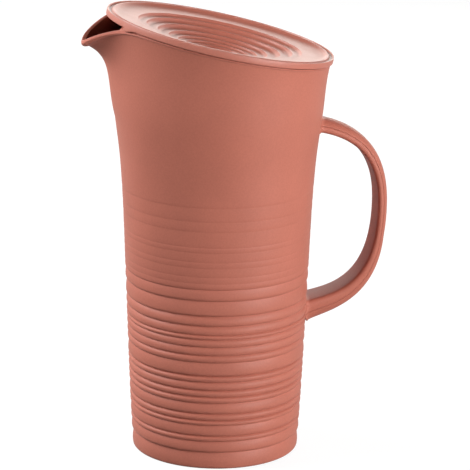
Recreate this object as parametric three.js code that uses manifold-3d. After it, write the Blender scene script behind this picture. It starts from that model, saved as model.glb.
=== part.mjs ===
// A lidded serving pitcher in moulded plastic, in millimetres, +Z up.
// The origin is the centre of the flat underside. The handle points along +X and the
// beak spout along -X. The lid lies in an oblique plane, high at the spout.

import * as THREE from 'three';
import { mergeVertices } from 'three/addons/utils/BufferGeometryUtils.js';
import Module from 'manifold-3d';

const wasm = await Module();
wasm.setup();

const DEGREE = Math.PI / 180;

// Driving dimensions: body
const BASE_RADIUS = 50;          // outer radius at the foot
const SHOULDER_RADIUS = 61.6;    // outer radius where the mouth starts to lean
const SHOULDER_HEIGHT = 205;     // height up to which the body is a plain turned shape
const RIM_RADIUS = 67.4;         // outer radius of the rim, in the lid's own plane
const NECK_HEIGHT = 46.8;        // height of the rim's centre above the shoulder
const MOUTH_TILT = 12.1 * DEGREE;
const WALL = 2.8;
const FLOOR = 3.2;
const FOOT_FILLET = 1.9;
const INNER_FILLET = 6;

// Driving dimensions: ring grooves round the lower body
const RIBBED_HEIGHT = 163;       // height of the highest groove
const GROOVE_DEPTH = 1.2;
const HAIRLINE_DEPTH = 0.25;     // depth of the shallow rings above the deep grooves
const GROOVE_LIP = 0.9;          // height of the undercut edge over each groove

// Driving dimensions: rim and spout
const RIM_LEDGE = 1.3;           // step that the lid's band sits over
const TIP_LEDGE = 0.1;           // the same step at the beak's tip
const UPSTAND = 1.9;             // height of the inner lip above that step
const SPOUT_REACH = 13.2;        // how far the beak runs out past the round rim
const SPOUT_DROP = 17.7;         // how far the beak's tip lies under the lid's plane
const SPOUT_ANGLE = 15.7 * DEGREE;
const SPOUT_DROP_ANGLE = 14.4 * DEGREE;
const BEAD_REACH = 4.8;          // how far the beak's rounded lip stands proud of its throat
const BEAD_HEIGHT = 0.9;
const RIM_BEAD_REACH = 0.1;      // the same lip where it fades out round the rim
const RIM_BEAD_HEIGHT = 0.8;

// Driving dimensions: lid
const LID_OVERHANG = 1.1;        // how far the band stands out past the rim
const BAND_HEIGHT = 4.4;         // top of the lid above the rim's plane
const BAND_ROUND = 0.4;
const RING_STEP = 0.5;           // height of the rim's top ring above the band's shoulder
const RING_INSET = 0.9;          // width of that shoulder
const LID_RIM_WIDTH = 3.4;       // from the band's face to the edge of the dish
const LID_FLANGE = 2;            // thickness of the top ring
const DISH_INSET = 14.5;         // from the plug ring's face to the first and highest ridge
const DISH_LIP_HEIGHT = 1.7;     // that ridge's height above the rim's plane
const DISH_SLOPE = 0.275;        // fall of the ridges towards the middle
const RIDGE_STEP = 0.35;         // depth of each ridge's foot below the next ridge
const DISH_THICKNESS = 2.2;
const COLLAR_DEPTH = 4.6;        // reach of the plug ring into the mouth
const COLLAR_WALL = 2.2;
const COLLAR_TAPER = 2;          // how much narrower the plug ring is at its lower edge
const COLLAR_GAP_ANGLE = 19 * DEGREE;    // half the width of the pouring gap

// Driving dimensions: handle
const GRIP_WIDTH = 20;
const GRIP_ROOT_WIDTH = 25;      // width where the handle meets the ribs
const GRIP_TOP_THICKNESS = 8.1;
const GRIP_THICKNESS = 6.6;
const GRIP_ROOT_THICKNESS = 14.5;
const GRIP_REACH = 97.1;         // grip's inner face, measured from the body's axis
const GRIP_TOP_HEIGHT = 193.8;
const GRIP_MIDDLE_HEIGHT = 147.8;
const GRIP_ROOT_HEIGHT = 89.2;
const GRIP_WALL = 1.8;
const GRIP_FLOOR = 2;            // thickness behind the inner face

// Clearances and shared overrun
const CLEARANCE = 0.3;           // between pieces that meet
const OVERRUN = 4;               // cutting tools run this far past what they cut

// Counts
const BODY_SIDES = 48;
const LID_SIDES = 48;
const HANDLE_STEPS = 22;         // in each half of the handle
const COVER_STEPS = 8;           // across the cover
const TRIM_STEPS = 12;
const ARC_STEPS = 8;

// Share by which the body's sides are crowded together at the spout
const SPOUT_CROWDING_SHARE = 0.3;

// Grooves as shares of the ribbed height, deep ones first
const GROOVE_SHARES = [
  0.064, 0.107, 0.128, 0.17, 0.189, 0.215, 0.256, 0.28, 0.306, 0.337, 0.361, 0.413,
  0.44, 0.472, 0.501, 0.518, 0.552, 0.59, 0.648, 0.691,
];
const HAIRLINE_SHARES = [0.715, 0.739, 0.773, 0.795, 0.831, 0.85, 0.91, 0.947, 1];

// Outer profile under the shoulder: shares of its height, and of the way from foot to shoulder
const PROFILE_SHARES = [
  [0, 0], [0.195, 0.19], [0.49, 0.4], [0.73, 0.565], [0.878, 0.737], [1, 1],
];

// Places of the body's rings: shares of the stretch that each list covers
const SMOOTH_RING_SHARES = [0.33, 0.66];
const UPPER_RING_SHARES = [0, 0.2, 0.4, 0.58, 0.72, 0.82, 0.89, 0.95, 1];
const INNER_RING_SHARES = [0.93, 0.85, 0.74, 0.58, 0.38, 0.18, 0];
const LOWER_INNER_SHARES = [0.8, 0.6, 0.4, 0.2];

// Rise of the wall at its ends, as radius gained per height
const RIM_FLARE_SHARE = 0.24;
const SHOULDER_FLARE_SHARE = 0.14;

// Throat under the beak: share of its reach that curls out late, and how late
const CURL_SHARE = 0.55;
const CURL_POWER = 9;

// Upstand: how much faster than the beak it comes back to the round rim
const UPSTAND_POWER = 1.22;

// Beak's rounded lip from throat to ledge: shares of its reach, and of its height
const BEAD_SHARES = [[0.45, 1], [0.1, 0.6]];

// Small step, as a share of the upper wall, over which its slope is taken
const SLOPE_STEP_SHARE = 1 / 64;

// Ridges of the lid as shares of the first ridge's radius, with the foot inside each
const RIDGE_SHARES = [1, 0.89, 0.747, 0.6, 0.481, 0.39, 0.303, 0.222, 0.16];
const FOOT_SHARES = [0.925, 0.822, 0.656, 0.522, 0.424, 0.335, 0.252, 0.19];

// Hollow between lid rim and first ridge: shares of its width, and of its height
const HOLLOW_SHARES = [[0.08, 0.3], [0.2, 0.62], [0.36, 0.84], [0.58, 0.98], [0.82, 1.03]];

// Underside of the lid's top ring as a share of the upstand's height
const SHELF_SHARE = 0.2;

// Handle's halves from root to furthest point. Root: rise as a share of the handle's span.
// Arm: reach as a share of the way out, and rise. Bend: rise beyond the furthest point.
const TOP_HALF_SHARES = { root: 0.01, armReach: 0.75, armRise: -0.033, bend: 0.235 };
const ROOT_HALF_SHARES = { root: 0, armReach: 0.3, armRise: 0.052, bend: -0.545 };

// How soon the lower half of the handle thickens
const THICKENING_POWER = 1.45;

// Place of the seam between grip and cover, as a share of the way round the handle
const SEAM_SHARE = 0.18;
const SIDE_SHARES = [0, 0.25, 0.5, 0.75, 1];
const COVER_INSIDE_SHARES = [-1, -0.5, 0, 0.5, 1];

// Exponent of the handle's rounded outline: 1 is an ellipse, less is squarer
const OUTLINE_POWER = 0.75;

const PLASTIC = { color: 0xbe7060, roughness: 0.5, metalness: 0 };
const COVER_PLASTIC = { color: 0xb96b5c, roughness: 0.52, metalness: 0 };

// What is left of a corner's radius outside a 45 degree point of its arc
const ARC_SHARE = 1 - Math.SQRT1_2;

// Places that the lid shares with the rim
const RIM_HEIGHT = SHOULDER_HEIGHT + NECK_HEIGHT;
const UPSTAND_RADIUS = RIM_RADIUS - RIM_LEDGE;
const BAND_INNER_RADIUS = UPSTAND_RADIUS + 2 * CLEARANCE;
const PLUG_RADIUS = RIM_RADIUS - WALL - 2 * CLEARANCE;
const SHELF_HEIGHT = SHELF_SHARE * UPSTAND;
const LID_RADIUS = RIM_RADIUS + LID_OVERHANG;
const DISH_LIP_RADIUS = PLUG_RADIUS - DISH_INSET;

const lerp = THREE.MathUtils.lerp;

/** Slope of the tabled curve at point i, from its neighbours. */
function tableSlope(table, i) {
  const a = table[Math.max(i - 1, 0)];
  const b = table[Math.min(i + 1, table.length - 1)];
  return (b[1] - a[1]) / (b[0] - a[0]);
}

/** Smooth curve through a table of [place, value] pairs. */
function smoothTable(table, place) {
  let i = 0;
  while (i < table.length - 2 && place > table[i + 1][0]) i += 1;
  const [x0, y0] = table[i];
  const [x1, y1] = table[i + 1];
  const width = x1 - x0;
  return hermite(y0, tableSlope(table, i) * width, y1, tableSlope(table, i + 1) * width,
    (place - x0) / width);
}

/** Cubic from a to b with the end slopes given per whole step. */
function hermite(a, slopeA, b, slopeB, t) {
  const t2 = t * t;
  const t3 = t2 * t;
  return a * (2 * t3 - 3 * t2 + 1) + slopeA * (t3 - 2 * t2 + t)
    + b * (3 * t2 - 2 * t3) + slopeB * (t3 - t2);
}

/** Outer radius of the turned part of the body, without its grooves. */
function bodyRadius(height) {
  return lerp(BASE_RADIUS, SHOULDER_RADIUS, smoothTable(PROFILE_SHARES, height / SHOULDER_HEIGHT));
}

// The lid's own frame: u towards the handle, v across, w square to the lid
const MOUTH_CENTRE = new THREE.Vector3(0, 0, RIM_HEIGHT);
const MOUTH_U = new THREE.Vector3(Math.cos(MOUTH_TILT), 0, -Math.sin(MOUTH_TILT));
const MOUTH_V = new THREE.Vector3(0, 1, 0);
const MOUTH_W = new THREE.Vector3(Math.sin(MOUTH_TILT), 0, Math.cos(MOUTH_TILT));

/** Point given in the lid's frame by angle, radius and height. */
function mouthPoint(angle, radius, height) {
  return MOUTH_CENTRE.clone()
    .addScaledVector(MOUTH_U, radius * Math.cos(angle))
    .addScaledVector(MOUTH_V, radius * Math.sin(angle))
    .addScaledVector(MOUTH_W, height);
}

/** Outer corner of the ledge at an angle, in the lid's frame, and the beak's pull there. */
function rimEdge(angle) {
  const off = Math.abs(angle - Math.PI);
  const reach = Math.exp(-((off / SPOUT_ANGLE) ** 2));
  const drop = Math.exp(-((off / SPOUT_DROP_ANGLE) ** 1.5));
  return { reach, radius: RIM_RADIUS + SPOUT_REACH * reach, height: -SPOUT_DROP * drop };
}

/** Cylindrical place of a point: radius, height and angle near a reference angle. */
function cylindrical(point, reference) {
  const angle = Math.atan2(point.y, point.x);
  const turn = 2 * Math.PI;
  return {
    r: Math.hypot(point.x, point.y),
    z: point.z,
    angle: angle + turn * Math.round((reference - angle) / turn),
  };
}

/** Point of a cylindrical place. */
function placed({ r, z, angle }) {
  return new THREE.Vector3(r * Math.cos(angle), r * Math.sin(angle), z);
}

// Sides of the body: angles round a full turn, closer together at the spout
const bodyAngles = Array.from({ length: BODY_SIDES }, (_, i) => {
  const even = 2 * Math.PI * i / BODY_SIDES;
  return even + SPOUT_CROWDING_SHARE * Math.sin(even);
});

/** Ring of points round the body. */
function circle(r, z) {
  return bodyAngles.map((angle) => placed({ r, z, angle }));
}

/** Outer wall above the shoulder, for one side of the body. t is 0 there and 1 at the lip. */
function upperWall(angle, t) {
  const edge = rimEdge(angle);
  const round = cylindrical(
    mouthPoint(angle, RIM_RADIUS - RIM_BEAD_REACH, -RIM_BEAD_HEIGHT), angle);
  const top = cylindrical(
    mouthPoint(angle, edge.radius - RIM_BEAD_REACH - BEAD_REACH * edge.reach,
      edge.height - RIM_BEAD_HEIGHT), angle);
  const rise = round.z - SHOULDER_HEIGHT;
  const base = hermite(SHOULDER_RADIUS, SHOULDER_FLARE_SHARE * rise,
    round.r, RIM_FLARE_SHARE * rise, t);
  const throat = lerp(t, t ** CURL_POWER, CURL_SHARE);
  return {
    r: base + (top.r - round.r) * throat,
    z: lerp(SHOULDER_HEIGHT, top.z, t),
    angle: lerp(angle, top.angle, t),
  };
}

/** The same wall moved in by the wall's thickness, square to its profile. */
function upperInnerWall(angle, t) {
  const low = upperWall(angle, Math.max(t - SLOPE_STEP_SHARE, 0));
  const high = upperWall(angle, Math.min(t + SLOPE_STEP_SHARE, 1));
  const here = upperWall(angle, t);
  const run = Math.hypot(high.r - low.r, high.z - low.z);
  return placed({
    r: here.r - WALL * (high.z - low.z) / run,
    z: here.z + WALL * (high.r - low.r) / run,
    angle: here.angle,
  });
}

/** Lip of one side of the body, from the rounded bead up over ledge and upstand. */
function lipPoints(angle) {
  const { reach, radius, height } = rimEdge(angle);
  const beadReach = RIM_BEAD_REACH + BEAD_REACH * reach;
  const beadHeight = RIM_BEAD_HEIGHT + BEAD_HEIGHT * reach;
  const bead = BEAD_SHARES.map(([inward, down]) => mouthPoint(
    angle, radius - inward * beadReach, height - down * beadHeight));
  const tipRadius = RIM_RADIUS + SPOUT_REACH - TIP_LEDGE;
  const outer = lerp(UPSTAND_RADIUS, tipRadius, reach ** UPSTAND_POWER);
  const inner = outer - WALL + lerp(RIM_LEDGE, TIP_LEDGE, reach);
  return [
    ...bead,
    mouthPoint(angle, radius, height),
    mouthPoint(angle, outer, height),
    mouthPoint(angle, outer, height + UPSTAND),
    mouthPoint(angle, inner, height + UPSTAND),
  ];
}

/** Closed shell from rings of equal length, shut by a point at each end. */
function shellOf(rings, firstPole, lastPole) {
  const count = rings[0].length;
  const points = [firstPole, ...rings.flat(), lastPole];
  const last = points.length - 1;
  const end = 1 + (rings.length - 1) * count;
  const index = [];
  for (let j = 0; j < count; j += 1) {
    const k = (j + 1) % count;
    index.push(0, 1 + k, 1 + j);
    for (let a = 1; a < end; a += count) {
      const b = a + count;
      index.push(a + j, a + k, b + k, a + j, b + k, b + j);
    }
    index.push(end + j, end + k, last);
  }
  return indexed(points, index);
}

/** Geometry from points and an index. */
function indexed(points, index) {
  const geometry = new THREE.BufferGeometry();
  const values = points.flatMap((p) => p.toArray());
  geometry.setAttribute('position', new THREE.Float32BufferAttribute(values, 3));
  geometry.setIndex(index);
  return geometry;
}

/** Welded copy of a geometry: positions only and no empty triangles. */
function welded(geometry) {
  const bare = geometry.clone();
  bare.deleteAttribute('normal');
  bare.deleteAttribute('uv');
  const merged = mergeVertices(bare);
  const kept = [];
  const index = merged.index.array;
  for (let i = 0; i < index.length; i += 3) {
    const [a, b, c] = [index[i], index[i + 1], index[i + 2]];
    if (a !== b && b !== c && c !== a) kept.push(a, b, c);
  }
  merged.setIndex(kept);
  return merged;
}

/** Solid for cutting. */
function solidOf(geometry) {
  const mesh = welded(geometry);
  return new wasm.Manifold(new wasm.Mesh({
    numProp: 3,
    vertProperties: new Float32Array(mesh.attributes.position.array),
    triVerts: new Uint32Array(mesh.index.array),
  }));
}

/** What is left of one geometry when another is cut from it. */
function cut(geometry, tool) {
  const mesh = solidOf(geometry).subtract(solidOf(tool)).getMesh();
  const left = new THREE.BufferGeometry();
  left.setAttribute('position', new THREE.Float32BufferAttribute(mesh.vertProperties, 3));
  left.setIndex(new THREE.Uint32BufferAttribute(mesh.triVerts, 1));
  return left;
}

/** Turned solid about Z from a profile of [radius, height] pairs. */
function turned(profile, sides) {
  const lathe = new THREE.LatheGeometry(profile.map(([r, z]) => new THREE.Vector2(r, z)), sides);
  return lathe.rotateX(Math.PI / 2);
}

/** Jug body: flat foot, grooved wall, leaning mouth with a beak, and a smooth inside. */
function jugBody() {
  const rings = [
    circle(BASE_RADIUS - FOOT_FILLET, 0),
    circle(BASE_RADIUS - FOOT_FILLET * ARC_SHARE, FOOT_FILLET * ARC_SHARE),
    circle(bodyRadius(FOOT_FILLET), FOOT_FILLET),
  ];
  const addGrooves = (shares, depth) => {
    for (const share of shares) {
      const height = share * RIBBED_HEIGHT;
      const lip = height + GROOVE_LIP;
      rings.push(circle(bodyRadius(height) - depth, height), circle(bodyRadius(lip), lip));
    }
  };
  addGrooves(GROOVE_SHARES, GROOVE_DEPTH);
  addGrooves(HAIRLINE_SHARES, HAIRLINE_DEPTH);
  for (const share of SMOOTH_RING_SHARES) {
    const height = lerp(RIBBED_HEIGHT + GROOVE_LIP, SHOULDER_HEIGHT, share);
    rings.push(circle(bodyRadius(height), height));
  }
  for (const t of UPPER_RING_SHARES) {
    rings.push(bodyAngles.map((angle) => placed(upperWall(angle, t))));
  }

  const lips = bodyAngles.map(lipPoints);
  lips[0].forEach((_, i) => rings.push(lips.map((lip) => lip[i])));

  for (const t of INNER_RING_SHARES) {
    rings.push(bodyAngles.map((angle) => upperInnerWall(angle, t)));
  }
  for (const share of LOWER_INNER_SHARES) {
    const height = SHOULDER_HEIGHT * share;
    rings.push(circle(bodyRadius(height) - WALL, height));
  }
  const cornerHeight = FLOOR + INNER_FILLET;
  const cornerRadius = bodyRadius(cornerHeight) - WALL;
  rings.push(
    circle(cornerRadius, cornerHeight),
    circle(cornerRadius - INNER_FILLET * ARC_SHARE, FLOOR + INNER_FILLET * ARC_SHARE),
    circle(cornerRadius - INNER_FILLET, FLOOR),
  );
  return shellOf(rings, new THREE.Vector3(0, 0, 0), new THREE.Vector3(0, 0, FLOOR));
}

/** Height of the ridges' line at a radius of the dish. */
function ridgeHeight(radius) {
  return DISH_LIP_HEIGHT - DISH_SLOPE * (DISH_LIP_RADIUS - radius);
}

/** Lid: band, stepped rim and a dish of ridges that go down to the middle. */
function lidDish() {
  const ringRadius = LID_RADIUS - RING_INSET;
  const shoulder = BAND_HEIGHT - RING_STEP;
  const rimInner = LID_RADIUS - LID_RIM_WIDTH;
  const profile = [
    [BAND_INNER_RADIUS, CLEARANCE],
    [LID_RADIUS - BAND_ROUND, CLEARANCE],
    [LID_RADIUS, CLEARANCE + BAND_ROUND],
    [LID_RADIUS, shoulder - BAND_ROUND],
    [LID_RADIUS - BAND_ROUND, shoulder],
    [ringRadius, shoulder],
    [ringRadius - BAND_ROUND, BAND_HEIGHT],
    [rimInner, BAND_HEIGHT],
  ];
  for (const [across, down] of HOLLOW_SHARES) {
    profile.push([
      lerp(rimInner, DISH_LIP_RADIUS, across), lerp(BAND_HEIGHT, DISH_LIP_HEIGHT, down)]);
  }
  const ridges = RIDGE_SHARES.map((share) => share * DISH_LIP_RADIUS);
  FOOT_SHARES.forEach((share, i) => {
    profile.push([ridges[i], ridgeHeight(ridges[i])]);
    profile.push([share * DISH_LIP_RADIUS, ridgeHeight(ridges[i + 1]) - RIDGE_STEP]);
  });
  const middle = ridgeHeight(ridges.at(-1)) - RIDGE_STEP;
  const flangeUnderside = BAND_HEIGHT - LID_FLANGE;
  profile.push(
    [0, middle],
    [0, middle - DISH_THICKNESS],
    [FOOT_SHARES.at(-1) * DISH_LIP_RADIUS, middle - DISH_THICKNESS],
    [DISH_LIP_RADIUS, DISH_LIP_HEIGHT - RIDGE_STEP - DISH_THICKNESS],
    [PLUG_RADIUS - 2 * COLLAR_WALL, SHELF_HEIGHT],
    [PLUG_RADIUS, SHELF_HEIGHT],
    [PLUG_RADIUS, flangeUnderside],
    [BAND_INNER_RADIUS, flangeUnderside],
    [BAND_INNER_RADIUS, CLEARANCE],
  );
  return turned(profile, LID_SIDES);
}

/** Plug ring under the lid, open towards the spout. */
function lidCollar() {
  const top = SHELF_HEIGHT - CLEARANCE;
  const inner = PLUG_RADIUS - COLLAR_TAPER - COLLAR_WALL;
  const lead = COLLAR_WALL / 3;
  const ring = turned([
    [inner, top], [inner, -COLLAR_DEPTH], [PLUG_RADIUS - COLLAR_TAPER - lead, -COLLAR_DEPTH],
    [PLUG_RADIUS - COLLAR_TAPER, lead - COLLAR_DEPTH], [PLUG_RADIUS, top], [inner, top],
  ], LID_SIDES);
  const slice = new THREE.Shape();
  slice.moveTo(0, 0);
  slice.absarc(0, 0, LID_RADIUS, Math.PI - COLLAR_GAP_ANGLE, Math.PI + COLLAR_GAP_ANGLE, false);
  const gap = new THREE.ExtrudeGeometry(slice, {
    depth: COLLAR_DEPTH + 2 * OVERRUN, bevelEnabled: false, curveSegments: ARC_STEPS,
  });
  return cut(ring, gap.translate(0, 0, -COLLAR_DEPTH - OVERRUN));
}

/** One half of the handle's inner face, from its root to its furthest point. */
function handleHalf(height, shares) {
  const span = GRIP_TOP_HEIGHT - GRIP_ROOT_HEIGHT;
  const start = bodyRadius(height) - OVERRUN;
  return [
    [start, height + shares.root * span],
    [lerp(start, GRIP_REACH, shares.armReach), height + shares.armRise * span],
    [GRIP_REACH, GRIP_MIDDLE_HEIGHT + shares.bend * span],
    [GRIP_REACH, GRIP_MIDDLE_HEIGHT],
  ].map(([x, z]) => new THREE.Vector3(x, 0, z));
}

const topCurve = new THREE.CubicBezierCurve3(...handleHalf(GRIP_TOP_HEIGHT, TOP_HALF_SHARES));
const rootCurve = new THREE.CubicBezierCurve3(
  ...handleHalf(GRIP_ROOT_HEIGHT, ROOT_HALF_SHARES).reverse());

// Stations down the handle: place, outward direction, width and thickness
const handleStations = [topCurve, rootCurve].flatMap((curve, half) => {
  const stations = [];
  for (let i = half; i <= HANDLE_STEPS; i += 1) {
    const t = i / HANDLE_STEPS;
    const along = curve.getTangent(t);
    const ease = THREE.MathUtils.smoothstep(t, 0, 1);
    stations.push({
      place: curve.getPoint(t),
      out: new THREE.Vector3(-along.z, 0, along.x),
      width: half ? lerp(GRIP_WIDTH, GRIP_ROOT_WIDTH, ease) : GRIP_WIDTH,
      thickness: half ? lerp(GRIP_ROOT_THICKNESS, GRIP_THICKNESS, (1 - t) ** THICKENING_POWER)
        : lerp(GRIP_TOP_THICKNESS, GRIP_THICKNESS, ease),
    });
  }
  return stations;
});

/** Point of the handle's D-shaped outline: shares 0 and 1 are the inner face's two edges. */
function outline(station, share) {
  const angle = Math.PI * share;
  const across = Math.sign(Math.cos(angle)) * Math.abs(Math.cos(angle)) ** OUTLINE_POWER;
  return [across * station.width / 2, Math.sin(angle) ** OUTLINE_POWER * station.thickness];
}

/** Closed solid from a section swept down the handle. */
function sweptSolid(section) {
  const sections = handleStations.map(section);
  const points = sections.flatMap((pairs, i) => pairs.map(([across, out]) => {
    const { place, out: direction } = handleStations[i];
    return place.clone().addScaledVector(direction, out).setY(across);
  }));
  const count = sections[0].length;
  const end = points.length - count;
  const index = [];
  for (let a = 0; a < end; a += count) {
    const b = a + count;
    for (let j = 0; j < count; j += 1) {
      const k = (j + 1) % count;
      index.push(a + j, a + k, b + k, a + j, b + k, b + j);
    }
  }
  const flat = (pairs) => pairs.map(([across, out]) => new THREE.Vector2(across, out));
  for (const [a, b, c] of THREE.ShapeUtils.triangulateShape(flat(sections[0]), [])) {
    index.push(a, c, b);
  }
  for (const [a, b, c] of THREE.ShapeUtils.triangulateShape(flat(sections.at(-1)), [])) {
    index.push(end + a, end + b, end + c);
  }
  return indexed(points, index);
}

/** Section of the grip: flat inner face, side walls and an open channel behind. */
function gripSection(station) {
  const side = SIDE_SHARES.map((share) => outline(station, share * SEAM_SHARE));
  const [seamAcross, seamOut] = side.at(-1);
  const right = [
    ...side, [seamAcross - GRIP_WALL, seamOut], [seamAcross - GRIP_WALL, GRIP_FLOOR]];
  const left = right.map(([across, out]) => [-across, out]).reverse();
  return [...right, ...left];
}

/** Section of the cover that closes the channel. */
function coverSection(station) {
  const [, seamOut] = outline(station, SEAM_SHARE);
  const outer = [];
  for (let i = 0; i <= COVER_STEPS; i += 1) {
    const [across, out] = outline(station, lerp(SEAM_SHARE, 1 - SEAM_SHARE, i / COVER_STEPS));
    outer.push([across, out + CLEARANCE]);
  }
  const reach = outer[0][0] - GRIP_WALL;
  const hollow = station.thickness - seamOut - GRIP_WALL;
  const inner = COVER_INSIDE_SHARES.map((share) => [
    share * reach, seamOut + CLEARANCE + hollow * (1 - share * share)]);
  return [...outer, ...inner];
}

/** Body-shaped tool that trims the handle's roots to the wall. */
function bodyTool() {
  const profile = [[0, -OVERRUN], [bodyRadius(0), -OVERRUN]];
  for (let i = 0; i <= TRIM_STEPS; i += 1) {
    const height = SHOULDER_HEIGHT * i / TRIM_STEPS;
    profile.push([bodyRadius(height) + CLEARANCE, height]);
  }
  profile.push([0, SHOULDER_HEIGHT]);
  return turned(profile, 2 * BODY_SIDES);
}

/** Named mesh with its own material. */
function piece(name, geometry, look) {
  const mesh = new THREE.Mesh(geometry, new THREE.MeshStandardMaterial(look));
  mesh.name = name;
  return mesh;
}

const pitcher = new THREE.Group();
pitcher.add(piece('jug_body', jugBody(), PLASTIC));
pitcher.add(piece('handle_grip', cut(sweptSolid(gripSection), bodyTool()), PLASTIC));
pitcher.add(piece('handle_cover', cut(sweptSolid(coverSection), bodyTool()), COVER_PLASTIC));

const lid = new THREE.Group();
lid.position.copy(MOUTH_CENTRE);
lid.rotation.y = MOUTH_TILT;
lid.add(piece('lid', lidDish(), PLASTIC));
lid.add(piece('lid_collar', lidCollar(), PLASTIC));
pitcher.add(lid);

export default pitcher;
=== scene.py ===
"""Looks of a lidded serving pitcher in moulded satin plastic.

The pieces' sizes are in millimetres and their angles in radians. Meshes are written in
metres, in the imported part's own frame: +Z up, the handle along +X and the beak along -X.
The lid lies in an oblique plane, high at the spout, and its pieces are given in that plane.
"""

import logging
import math
from collections.abc import Callable, Sequence
from dataclasses import dataclass, field
from enum import Enum

import bmesh
import bpy
import numpy as np
from mathutils import Matrix, Vector


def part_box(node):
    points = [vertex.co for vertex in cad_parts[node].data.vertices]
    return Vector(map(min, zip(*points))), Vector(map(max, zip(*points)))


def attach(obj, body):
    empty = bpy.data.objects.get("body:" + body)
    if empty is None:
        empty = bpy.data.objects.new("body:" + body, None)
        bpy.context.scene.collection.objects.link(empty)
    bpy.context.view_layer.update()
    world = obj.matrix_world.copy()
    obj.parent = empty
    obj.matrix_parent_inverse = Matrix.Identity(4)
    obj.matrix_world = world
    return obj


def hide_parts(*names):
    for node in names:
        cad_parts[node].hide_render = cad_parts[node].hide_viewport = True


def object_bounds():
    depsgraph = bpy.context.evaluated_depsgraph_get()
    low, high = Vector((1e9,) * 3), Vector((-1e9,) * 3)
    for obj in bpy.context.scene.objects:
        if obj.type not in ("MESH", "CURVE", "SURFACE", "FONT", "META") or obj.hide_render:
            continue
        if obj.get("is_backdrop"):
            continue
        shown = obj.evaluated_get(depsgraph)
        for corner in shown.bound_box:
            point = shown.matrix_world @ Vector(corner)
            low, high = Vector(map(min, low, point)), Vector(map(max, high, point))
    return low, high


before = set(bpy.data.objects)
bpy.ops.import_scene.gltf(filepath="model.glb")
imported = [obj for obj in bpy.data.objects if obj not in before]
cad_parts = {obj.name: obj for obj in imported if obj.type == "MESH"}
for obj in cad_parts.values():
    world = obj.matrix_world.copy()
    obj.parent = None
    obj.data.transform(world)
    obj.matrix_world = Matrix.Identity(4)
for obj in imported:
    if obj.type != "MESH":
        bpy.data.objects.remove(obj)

LOG = logging.getLogger("pitcher")
MM = 0.001
TURN = 2 * math.pi
WHITE = (1, 1, 1, 1)
TERRACOTTA = (0.485, 0.156, 0.108)
# Points on a rounded corner, and the most that it takes of an edge
CORNER_STEPS = 4
CORNER_SHARE = 0.5
# Middle of a noise's values, and the range of most of them
NOISE_MIDDLE = 0.5
NOISE_RANGE = (0.3, 0.7)

Points = np.ndarray
Piece = bpy.types.Object
Tree = bpy.types.NodeTree
Socket = bpy.types.NodeSocket
Inputs = dict[str | int, object]


class Body(Enum):
    """Bodies that the pieces ride on."""

    JUG = "jug"
    LID = "lid"


class Slot(Enum):
    """Material slots of the record."""

    BODY = "body_plastic"
    GRIP = "handle_plastic"
    COVER = "handle_cover_plastic"
    LID = "lid_plastic"
    COLLAR = "collar_plastic"


class StepShape(Enum):
    """How a repeated ring sinks between two crests."""

    SHINGLE = "shingle"
    TERRACE = "terrace"


def hermite(a: Points, slope_a: Points, b: Points, slope_b: Points, t: Points) -> Points:
    """Cubic from a to b.

    Args:
        a: value at the start.
        slope_a: slope at the start, per whole step.
        b: value at the end.
        slope_b: slope at the end, per whole step.
        t: place from 0 to 1.

    Returns:
        The value at t.
    """
    return (a * (2 * t**3 - 3 * t**2 + 1) + slope_a * (t**3 - 2 * t**2 + t)
            + b * (3 * t**2 - 2 * t**3) + slope_b * (t**3 - t**2))


def eased(t: Points) -> Points:
    """Smooth step from 0 to 1."""
    return t * t * (3 - 2 * t)


def mirrored(half: list[Points]) -> list[Points]:
    """Outline from its right half, whose first and last points lie on the middle line."""
    return half + [p * np.array([[-1], [1]]) for p in half[-2:0:-1]]


def bow(a: Points, b: Points, c: Points, t: Points) -> Points:
    """Quadratic curve from a to c, drawn towards b, at places from 0 to 1."""
    return (1 - t)**2 * a + 2 * t * (1 - t) * b + t**2 * c


def smooth_table(table: Sequence[tuple[float, float]], place: float) -> float:
    """Smooth curve through a table.

    Args:
        table: pairs of place and value, in rising order of place.
        place: where the curve is read.

    Returns:
        The curve's value there.
    """
    last = len(table) - 1

    def slope(i: int) -> float:
        """Slope at a point of the table, from its neighbours."""
        (x0, y0), (x1, y1) = table[max(i - 1, 0)], table[min(i + 1, last)]
        return (y1 - y0) / (x1 - x0)

    i = 0
    while i < last - 1 and place > table[i + 1][0]:
        i += 1
    (x0, y0), (x1, y1) = table[i], table[i + 1]
    width = x1 - x0
    return hermite(y0, slope(i) * width, y1, slope(i + 1) * width, (place - x0) / width)


def rounded(corners: Sequence[Points], radii: Sequence[float],
            steps: int = CORNER_STEPS) -> list[Points]:
    """Rounds the inner corners of an open outline.

    Args:
        corners: points of the outline, whose first axis holds the two coordinates.
        radii: how far each inner corner is cut back, 0 for a sharp one.
        steps: points on each rounded corner.

    Returns:
        The outline with its corners rounded.
    """
    shape = np.broadcast_shapes(*(np.shape(c) for c in corners))
    points = [np.broadcast_to(c, shape) for c in corners]
    outline = [points[0]]
    for before, corner, after, radius in zip(points, points[1:], points[2:], radii):
        if radius == 0:
            outline.append(corner)
            continue
        ends = []
        for other in (before, after):
            reach = other - corner
            length = np.linalg.norm(reach, axis=0)
            ends.append(corner + reach * np.minimum(radius / length, CORNER_SHARE))
        outline += [bow(ends[0], corner, ends[1], t) for t in np.linspace(0, 1, steps)]
    outline.append(points[-1])
    return outline


def turned_place(angle: Points, radius: Points, height: Points) -> Points:
    """Points of a turned shape about Z, with x, y and z on the last axis."""
    return np.stack(np.broadcast_arrays(
        radius * np.cos(angle), radius * np.sin(angle), height), axis=-1)


def put(name: str, data: bpy.types.ID) -> Piece:
    """Object for a mesh, lamp or camera, linked to the scene.

    Args:
        name: the object's name.
        data: what it shows.

    Returns:
        The object.
    """
    made = bpy.data.objects.new(name, data)
    bpy.context.scene.collection.objects.link(made)
    return made


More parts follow.
